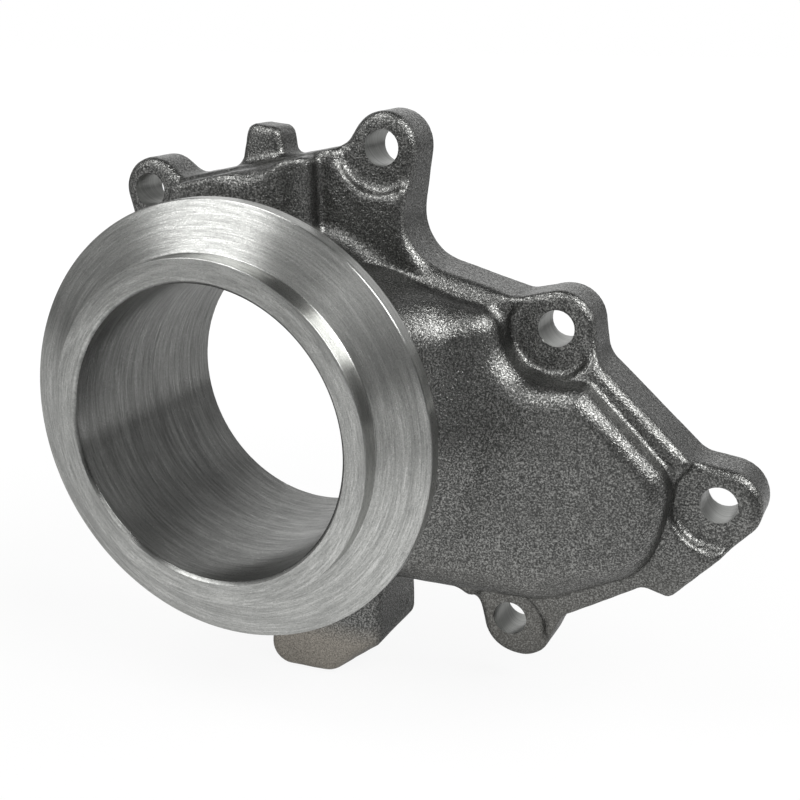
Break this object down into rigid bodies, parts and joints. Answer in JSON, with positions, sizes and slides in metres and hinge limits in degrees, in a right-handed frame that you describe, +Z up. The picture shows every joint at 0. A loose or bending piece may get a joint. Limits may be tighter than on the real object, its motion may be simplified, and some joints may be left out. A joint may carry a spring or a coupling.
{
  "type": "turbocharger exhaust outlet housing",
  "caption": "Cast iron turbocharger exhaust outlet housing with a turned clamp flange, a bolted mounting plate and a valve pocket.",
  "frame": {"origin": "centre of the outlet bore at the machined mating face", "axes": "-Y along the bore axis towards the outlet flange, +X right and +Z up as installed"},
  "size_m": [0.1844, 0.0622, 0.1567],
  "materials": {
    "housing": "as cast",
    "machined": "turned"
  },
  "bodies": {
    "root": {"outlet_housing": "housing"}
  },
  "joints": []
}
